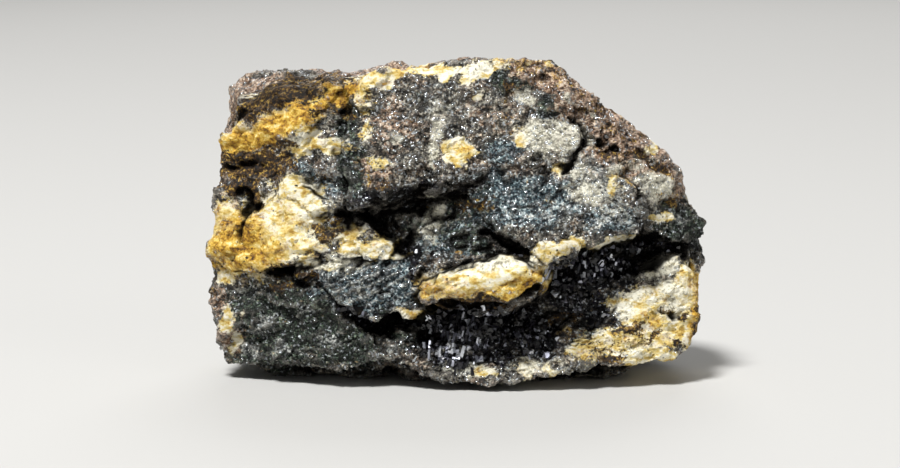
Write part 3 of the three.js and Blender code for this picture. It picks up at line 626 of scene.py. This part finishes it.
# The tone differs from grain to grain and within each grain: about 0.1 in the darkest, 0.9 in the brightest.
coarse_tone = add(t, "Math", {0: grain_id.outputs[1]}, operation="MULTIPLY", i1=0.30).outputs[0]
tone = add(t, "Math", {0: fine_id.outputs[1], 2: coarse_tone}, operation="MULTIPLY_ADD", i1=0.40).outputs[0]
tone = add(t, "Math", {0: dust.outputs["Fac"], 2: tone}, operation="MULTIPLY_ADD", i1=1.3).outputs[0]
tone = add(t, "Math", {0: smoke.outputs["Fac"], 2: tone}, operation="MULTIPLY_ADD", i1=0.9).outputs[0]
tone = add(t, "Math", {0: tone}, operation="MULTIPLY_ADD", i1=1.25, i2=-1.3125).outputs[0]

# Each mineral's colours, from its darkest grains to its brightest. Quartz and rust also change from patch
# to patch, more than from grain to grain.
grey_ore = add(t, "ValToRGB", {0: tone}, stops=[
    [0.10, "#0b0a09"], [0.32, "#26231f"], [0.50, "#464138"], [0.68, "#757064"], [0.90, "#c8c3b4"]]).outputs[0]
warm_ore = add(t, "ValToRGB", {0: tone}, stops=[
    [0.10, "#110c08"], [0.32, "#34281f"], [0.50, "#5c4c3e"], [0.68, "#8c7865"], [0.90, "#d9cab6"]]).outputs[0]
blue_ore = add(t, "ValToRGB", {0: tone}, stops=[
    [0.12, "#05080b"], [0.36, "#19262d"], [0.54, "#384c56"], [0.72, "#70898f"], [0.90, "#dfebeb"]]).outputs[0]
dark_ore = add(t, "ValToRGB", {0: tone}, stops=[
    [0.15, "#050806"], [0.40, "#101811"], [0.60, "#212d22"], [0.78, "#3f4f40"], [0.95, "#8a9b86"]]).outputs[0]
bright_ore = add(t, "ValToRGB", {0: tone}, stops=[
    [0.10, "#24282a"], [0.35, "#5c6160"], [0.58, "#a5a8a2"], [0.82, "#f0f1ea"]]).outputs[0]
weathered = add(t, "ValToRGB", {0: tone}, stops=[
    [0.10, "#1d120a"], [0.32, "#5a4230"], [0.52, "#92735a"], [0.70, "#c0a084"], [0.92, "#f2e0ca"]]).outputs[0]
black = add(t, "ValToRGB", {0: tone}, stops=[
    [0.25, "#020203"], [0.55, "#09080d"], [0.75, "#17141f"], [0.92, "#4a475a"]]).outputs[0]
cream_tone = add(t, "Math", {0: smoke.outputs["Fac"]}, operation="MULTIPLY", i1=1.66).outputs[0]
cream_tone = add(t, "Math", {0: tone, 2: cream_tone}, operation="MULTIPLY_ADD", i1=0.13).outputs[0]
cream = add(t, "ValToRGB", {0: cream_tone}, stops=[
    [0.56, "#9f7a2c"], [0.70, "#ccab54"], [0.84, "#e2cf8c"], [1.00, "#f6f0da"]]).outputs[0]
chalk = add(t, "ValToRGB", {0: tone}, stops=[
    [0.08, "#938f7e"], [0.30, "#d3ceb8"], [0.58, "#faf6e3"]]).outputs[0]
rust_tone = add(t, "Math", {0: smoke_id.outputs[1]}, operation="MULTIPLY_ADD", i1=1.5, i2=-0.40).outputs[0]
rust_tone = add(t, "Math", {0: tone, 2: rust_tone}, operation="MULTIPLY_ADD", i1=0.34).outputs[0]
rust = add(t, "ValToRGB", {0: rust_tone}, stops=[
    [0.21, "#3d2607"], [0.35, "#8a6012"], [0.50, "#c7982a"], [0.65, "#e3c056"], [0.83, "#f9e9ab"]]).outputs[0]
oxide = add(t, "ValToRGB", {0: tone}, stops=[
    [0.15, "#080502"], [0.42, "#291a06"], [0.62, "#513710"], [0.80, "#8b6a28"], [0.95, "#d0b058"]]).outputs[0]

# The minerals lie over each other in this order, from the grey ore up to the oxide.
warmth = add(t, "MapRange", {"Value": cloud_id.outputs[2]}, i1=0.46, i2=0.64,
             interpolation_type="SMOOTHSTEP").outputs[0]
body = add(t, "Mix", {0: warmth, 6: grey_ore, 7: warm_ore}, data_type="RGBA").outputs[2]
s_brown = share("brown", 0.42, 0.66, smoke_id.outputs[1], dust_id.outputs[1])
s_skin = share("skin", 0.32, 0.72, smoke_id.outputs[0], dust_id.outputs[2])
s_pale = share("pale", 0.34, 0.60, smoke_id.outputs[2], dust_id.outputs[0], 1.4, 1.0, 0.2)
s_rust = share("ochre", 0.32, 0.92, smoke_id.outputs[0], dust_id.outputs[1], 2.2, 0.8, 0.15)
s_black = share("blende", 0.36, 0.58, cloud_id.outputs[1], dust_id.outputs[2])
s_dark = share("dark", 0.22, 0.58, cloud_id.outputs[1], dust_id.outputs[1])
s_blue = share("blue", 0.35, 0.70, cloud_id.outputs[0], dust_id.outputs[0])
s_bright = share("bright", 0.42, 0.92, smoke_id.outputs[1], dust_id.outputs[2], 2.4, 1.8)
s_haze = share("haze", 0.26, 1.0, smoke_id.outputs[2], dust_id.outputs[1], 1.6, 1.2)
for amount, made in (
    (s_blue, blue_ore), (s_dark, dark_ore), (s_bright, bright_ore), (s_skin, weathered), (s_black, black),
    (s_pale, cream), (s_rust, rust), (s_haze, chalk), (s_brown, oxide),
):
    body = add(t, "Mix", {0: amount, 6: body, 7: made}, data_type="RGBA").outputs[2]

# Dark pits some 0.3 mm wide, painted shade in the hollows between grains and in the deeper recesses, and
# ridges rubbed pale. Dull is 1 in rust, oxide and quartz and 0 in fresh ore, whose grains are glossier.
PIT_DIRT, RECESS_SHADE, RUBBED, GLINT = "#17100a", "#0a0807", "#c9c3b8", "#e4ebef"
pit = add(t, "TexVoronoi", {"Vector": warped}, Scale=PITS_PER_MM)
pit_there = add(t, "MapRange", {"Value": pit.outputs["Distance"]},
                i1=0.10, i2=0.22, i3=1.0, i4=0.0).outputs[0]
pit_id = add(t, "SeparateColor", {0: pit.outputs["Color"]}).outputs[0]
pit_kept = add(t, "Math", {0: pit_id}, operation="GREATER_THAN", i1=0.72).outputs[0]
pit_there = add(t, "Math", {0: pit_there, 1: pit_kept}, operation="MULTIPLY").outputs[0]
body = add(t, "Mix", {0: pit_there, 6: body}, data_type="RGBA", i7=colour(PIT_DIRT)).outputs[2]
dull = add(t, "Math", {0: s_rust, 1: s_brown}, operation="MAXIMUM").outputs[0]
dull = add(t, "Math", {0: dull, 1: s_pale}, operation="MAXIMUM").outputs[0]
dull = add(t, "Math", {0: s_skin, 1: dull, 2: dull}, operation="MULTIPLY_ADD").outputs[0]
dull = add(t, "Math", {0: dull}, operation="MINIMUM", i1=1.0).outputs[0]
hollow = add(t, "Attribute", attribute_name="hollow").outputs["Fac"]
recess_shade = add(t, "Attribute", attribute_name="recess_shade").outputs["Fac"]
ridge = add(t, "Attribute", attribute_name="ridge").outputs["Fac"]
# Painted shade: the hollows, less so in the dull minerals, and the recesses go towards near black.
painted_shade = add(t, "MapRange", {"Value": dull}, i3=0.74, i4=0.36).outputs[0]
painted_shade = add(t, "Math", {0: hollow, 1: painted_shade}, operation="MULTIPLY").outputs[0]
deep = add(t, "Math", {0: recess_shade}, operation="MULTIPLY", i1=0.965).outputs[0]
painted_shade = add(t, "Math", {0: painted_shade, 1: deep}, operation="MAXIMUM").outputs[0]
body = add(t, "Mix", {0: painted_shade, 6: body}, data_type="RGBA", i7=colour(RECESS_SHADE)).outputs[2]
gloss = add(t, "MapRange", {"Value": fine_id.outputs[2]}, i3=0.55, i4=0.18).outputs[0]
rough = add(t, "Mix", {0: dull, 2: gloss}, i3=0.72).outputs[0]
fresh = add(t, "Math", {1: dull}, operation="SUBTRACT", i0=1.0).outputs[0]
worn = add(t, "Math", {0: ridge, 1: dust.outputs["Fac"]}, operation="MULTIPLY").outputs[0]
worn = add(t, "Math", {0: worn, 1: fresh}, operation="MULTIPLY").outputs[0]
worn = add(t, "Math", {0: worn}, operation="MULTIPLY", i1=0.38).outputs[0]
body = add(t, "Mix", {0: worn, 6: body}, data_type="RGBA", i7=colour(RUBBED)).outputs[2]

# One fresh grain in ten is a bright metallic face.
# Glints are kept out of the painted shade.
unshaded = add(t, "Math", {1: painted_shade}, operation="SUBTRACT", i0=1.0).outputs[0]
unshaded = add(t, "Math", {0: unshaded, 1: fresh}, operation="MULTIPLY").outputs[0]
sparse = add(t, "Math", {0: s_dark, 2: fine_id.outputs[2]}, operation="MULTIPLY_ADD", i1=-0.05).outputs[0]
metal = add(t, "MapRange", {"Value": sparse}, i1=0.87, i2=0.91, i3=0.0, i4=0.9).outputs[0]
metal = add(t, "Math", {0: metal, 1: unshaded}, operation="MULTIPLY").outputs[0]
body = add(t, "Mix", {0: metal, 6: body}, data_type="RGBA", i7=colour(GLINT)).outputs[2]

# Black sphalerite lacks the pale film of light that any other stone mirrors. The deepest recesses are painted
# shade, and there the near-black colour is also made a metal, so that it mirrors nothing pale.
unlit = add(t, "Math", {0: s_black, 1: fresh}, operation="MULTIPLY").outputs[0]
unlit = add(t, "Math", {0: unlit}, operation="MULTIPLY", i1=0.6).outputs[0]
unlit = add(t, "Math", {0: unlit, 1: deep}, operation="MAXIMUM").outputs[0]
metal = add(t, "Math", {0: metal, 1: unlit}, operation="MAXIMUM").outputs[0]

# Each grain leans its own way, fresh ones the most, and fine bumps of a quarter of a millimetre lie on them.
MIDDLE = (0.5, 0.5, 0.5)
BUMP_MM = 0.25
away = add(t, "VectorMath", {0: fine.outputs["Color"]}, operation="SUBTRACT", i1=MIDDLE).outputs[0]
away_big = add(t, "VectorMath", {0: grain.outputs["Color"]}, operation="SUBTRACT", i1=MIDDLE).outputs[0]
away = add(t, "VectorMath", {0: away, 1: away_big}, operation="ADD").outputs[0]
lean = add(t, "MapRange", {"Value": dull}, i3=0.55, i4=0.07).outputs[0]
away = add(t, "VectorMath", {0: away, "Scale": lean}, operation="SCALE").outputs[0]
bent = add(t, "VectorMath", {0: add(t, "NewGeometry").outputs["Normal"], 1: away}, operation="ADD").outputs[0]
bent = add(t, "VectorMath", {0: bent}, operation="NORMALIZE").outputs[0]
height = add(t, "Math", {0: fine.outputs["Distance"]}, operation="MULTIPLY", i1=-0.6).outputs[0]
height = add(t, "Math", {0: dust.outputs["Fac"], 1: height}, operation="ADD").outputs[0]
softer = add(t, "MapRange", {"Value": dull}, i3=1.0, i4=0.35).outputs[0]
height = add(t, "Math", {0: height, 1: softer}, operation="MULTIPLY").outputs[0]
bumped = add(t, "Bump", {"Height": height, "Normal": bent}, Strength=0.8, Distance=BUMP_MM * MM).outputs[0]

surface = add(t, "BsdfPrincipled", {
    "Base Color": body, "Roughness": rough, "Metallic": metal, "Normal": bumped}, IOR=1.5)
add(t, "OutputMaterial", {"Surface": surface.outputs[0]})
rock_mesh.materials.append(ore)
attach(rock, "root")
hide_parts("sphalerite_specimen")

# Loose-standing grains of the same ore, cleaved blocks partly sunk in the rock, that make its skin sparkle
# and its outline rough. Each is a small block that takes the minerals of the spot where it sits.
rng = np.random.default_rng(7)
GRAIN_MM = 0.28
GRAIN_TRIES = 11000
MOST_COVER = 0.45  # loose grains stand only where the ore is this free of other minerals and of painted recess shade
OFF_THE_FLOOR_MM = 0.8
BLOCK = np.array(list(np.ndindex(2, 2, 2)), float) - 0.5
BLOCK_FACES = np.array([
    [0, 1, 3], [0, 3, 2], [4, 6, 7], [4, 7, 5], [0, 4, 5], [0, 5, 1],
    [2, 3, 7], [2, 7, 6], [0, 2, 6], [0, 6, 4], [1, 5, 7], [1, 7, 3]])


def turned_at_random(count):
    """Rotation matrices from random unit quaternions."""
    q = rng.normal(size=(count, 4))
    a, b, c, d = q.T / np.linalg.norm(q, axis=1)
    return np.moveaxis(np.array([
        [1 - 2 * (c * c + d * d), 2 * (b * c - a * d), 2 * (b * d + a * c)],
        [2 * (b * c + a * d), 1 - 2 * (b * b + d * d), 2 * (c * d - a * b)],
        [2 * (b * d - a * c), 2 * (c * d + a * b), 1 - 2 * (b * b + c * c)],
    ]), 2, 0)


def studs(name, corners, faces, hosts, sizes, turns, sunk):
    """Copies of a small crystal: corners times size, turned, and set on the host points, each sunk by a share
    of its size."""
    at = place[hosts] - normal[hosts] * (sunk * sizes.mean(1))[:, None]
    points = at[:, None] + np.einsum("nij,nkj->nki", turns, corners[None] * sizes[:, None])
    points = np.clip(points, low, high)
    points[..., 2] = np.maximum(points[..., 2], 0.02)
    every = (np.arange(len(hosts))[:, None, None] * len(corners) + faces[None]).reshape(-1, 3)
    mesh = bpy.data.meshes.new(name)
    mesh.from_pydata((points.reshape(-1, 3) * MM).tolist(), [], every.tolist())
    made = bpy.data.objects.new(name, mesh)
    bpy.context.scene.collection.objects.link(made)
    return made


chosen = rng.choice(len(place), GRAIN_TRIES, replace=False)
cover = sum(shares[k][chosen] for k in ("skin", "brown", "pale", "ochre", "recess_shade"))
chosen = chosen[(cover < MOST_COVER) & (place[chosen, 2] > OFF_THE_FLOOR_MM)]
grain_sizes = GRAIN_MM * np.exp(0.30 * rng.normal(size=(len(chosen), 1)))
grain_sizes = grain_sizes * rng.uniform(0.7, 1.25, (len(chosen), 3))
grains = studs("ore_grains", BLOCK, BLOCK_FACES, chosen, grain_sizes, turned_at_random(len(chosen)), 0.12)
own_shares = {k: np.repeat(v[chosen], len(BLOCK)) for k, v in shares.items()}
own_shares["hollow"][:] = 0
own_shares["recess_shade"][:] = 0
written(grains.data, own_shares)
grains.data.materials.append(ore)
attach(grains, "root")
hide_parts("sphalerite_specimen")

# Coarse sphalerite crystals in the dark pockets: tetrahedra with cut corners, grown in place and partly
# sunk in the rock, glossy and purple-black.
CRYSTALS = 1500
CRYSTAL_MM = 0.60
CUT = 0.27  # the share of each edge that a cut corner takes
peaks = np.array([[1, 1, 1], [1, -1, -1], [-1, 1, -1], [-1, -1, 1]]) / 2.0
pairs = [(i, j) for i in range(4) for j in range(4) if i != j]
TETRAHEDRON = np.array([peaks[i] + CUT * (peaks[j] - peaks[i]) for i, j in pairs])
rings = [[pairs.index((i, j)) for j in range(4) if j != i] for i in range(4)]
rings += [[pairs.index(q) for q in ((a, b), (b, a), (b, c), (c, b), (c, a), (a, c))]
          for a, b, c in ((1, 2, 3), (0, 2, 3), (0, 1, 3), (0, 1, 2))]
TETRAHEDRON_FACES = []
for ring in rings:
    corner = TETRAHEDRON[ring]
    if np.cross(corner[1] - corner[0], corner[2] - corner[0]) @ corner.mean(0) < 0:
        ring = ring[::-1]
    TETRAHEDRON_FACES += [[ring[0], ring[k], ring[k + 1]] for k in range(1, len(ring) - 1)]
TETRAHEDRON_FACES = np.array(TETRAHEDRON_FACES)

# They stand where black sphalerite is thick and quartz is thin, in the lower half and clear of the floor.
weight = np.clip(shares["blende"] - 0.55, 0, None) * (1 - np.clip(shares["pale"], 0, 1))
weight *= (place[:, 2] > 1.2) * (place[:, 2] < 17)
chosen = rng.choice(len(place), CRYSTALS, replace=False, p=weight / weight.sum())
crystal_sizes = CRYSTAL_MM * np.exp(np.clip(0.33 * rng.normal(size=(CRYSTALS, 1)), -0.5, 0.42))
crystal_sizes = crystal_sizes * rng.uniform(0.75, 1.2, (CRYSTALS, 3))
crystals = studs("sphalerite_crystals", TETRAHEDRON, TETRAHEDRON_FACES, chosen, crystal_sizes,
                 turned_at_random(CRYSTALS), 0.22)
written(crystals.data, {"shade": np.repeat(rng.random(CRYSTALS), len(TETRAHEDRON))})

# Where they grew side by side they form upright blades, whose tips lean back so that they flash in rows.
BLADES = 170
BLADE_MM = [0.30, 0.34, 1.25]
BLADE_LEAN = [0.18, 0.50, 0.95]
weight = patch(ragged, [[0.8, 5.4, 3.0, 2.6, 0, 1], [15.8, 14.8, 3.6, 1.2, 0, 0.5]])
weight = weight * front * (place[:, 2] > 1.6)
chosen = rng.choice(len(place), BLADES, replace=False, p=weight / weight.sum())
blade_sizes = rng.uniform(0.7, 1.3, (BLADES, 3)) * BLADE_MM
tip = rng.normal(size=(BLADES, 3)) * 0.15 + BLADE_LEAN
tip /= np.linalg.norm(tip, axis=1, keepdims=True)
broad = np.cross(rng.normal(size=(BLADES, 3)) * 0.5 + [0, -1, 0], tip)
broad /= np.linalg.norm(broad, axis=1, keepdims=True)
upright = np.stack([broad, np.cross(tip, broad), tip], 2)
blades = studs("sphalerite_blades", BLOCK, BLOCK_FACES, chosen, blade_sizes, upright, 0.1)
written(blades.data, {"shade": np.repeat(rng.random(BLADES) ** 0.2, len(BLOCK))})

# Grown faces are flat and smooth, so each crystal either mirrors the light or stays black. The IOR is below
# the 2.4 of sphalerite, which would fill the black ones with the pale floor.
blende = bpy.data.materials.new("grown_sphalerite_faces")
blende.use_nodes = True
t = blende.node_tree
t.nodes.clear()
own = add(t, "Attribute", attribute_name="shade").outputs["Fac"]
purple = add(t, "ValToRGB", {0: own}, stops=[
    [0.0, "#010102"], [0.70, "#06050a"], [0.81, "#16121f"], [0.89, "#b0b2c0"], [0.97, "#f6f8fd"]]).outputs[0]
smooth = add(t, "MapRange", {"Value": own}, i3=0.12, i4=0.42).outputs[0]
mirror = add(t, "MapRange", {"Value": own}, i1=0.79, i2=0.87, i3=0.0, i4=0.95).outputs[0]
surface = add(t, "BsdfPrincipled", {"Base Color": purple, "Roughness": smooth, "Metallic": mirror}, IOR=1.58)
add(t, "OutputMaterial", {"Surface": surface.outputs[0]})
for piece in (crystals, blades):
    piece.data.materials.append(blende)
    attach(piece, "root")
    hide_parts("sphalerite_specimen")

# A plain pale floor and soft studio light: a softbox high in front and to the left, a weak one from the
# right, a wash from above and behind that keeps the floor even, and a dim even surround.
floor_mesh = bpy.data.meshes.new("floor")
floor_mesh.from_pydata([(-2, -2, 0), (2, -2, 0), (2, 4, 0), (-2, 4, 0)], [], [(0, 1, 2, 3)])
floor = bpy.data.objects.new("floor", floor_mesh)
bpy.context.scene.collection.objects.link(floor)

# Matt card, pressed and unglazed, which scatters nearly all light and mirrors nothing clearly.
paper = bpy.data.materials.new("matt_paper_floor")
paper.use_nodes = True
matt = paper.node_tree.nodes["Principled BSDF"]
matt.inputs["Base Color"].default_value = colour("#c6c5c2")
matt.inputs["Roughness"].default_value = 0.9
floor_mesh.materials.append(paper)


def lamp(name, at, size, watts):
    """A square area lamp at that place, in metres, turned to the middle of the specimen."""
    light = bpy.data.lights.new(name, "AREA")
    light.size = size
    light.energy = watts
    made = bpy.data.objects.new(name, light)
    bpy.context.scene.collection.objects.link(made)
    made.location = at
    made.rotation_mode = "QUATERNION"
    middle = Vector((0, 0, MIDDLE_HEIGHT_MM * MM))
    made.rotation_quaternion = (middle - Vector(at)).to_track_quat("-Z", "Y")


lamp("key_softbox", (-0.34, -0.52, 1.22), 0.28, 24.0)
lamp("right_fill", (0.9, -0.7, 0.5), 0.6, 1.2)
lamp("back_wash", (0.1, 1.1, 0.9), 0.8, 7.0)
world = bpy.data.worlds.new("studio")
world.use_nodes = True
surround = world.node_tree.nodes["Background"]
surround.inputs["Color"].default_value = colour("#f2f2f2")
surround.inputs["Strength"].default_value = 0.14
bpy.context.scene.world = world
bpy.context.scene.view_settings.view_transform = "Standard"
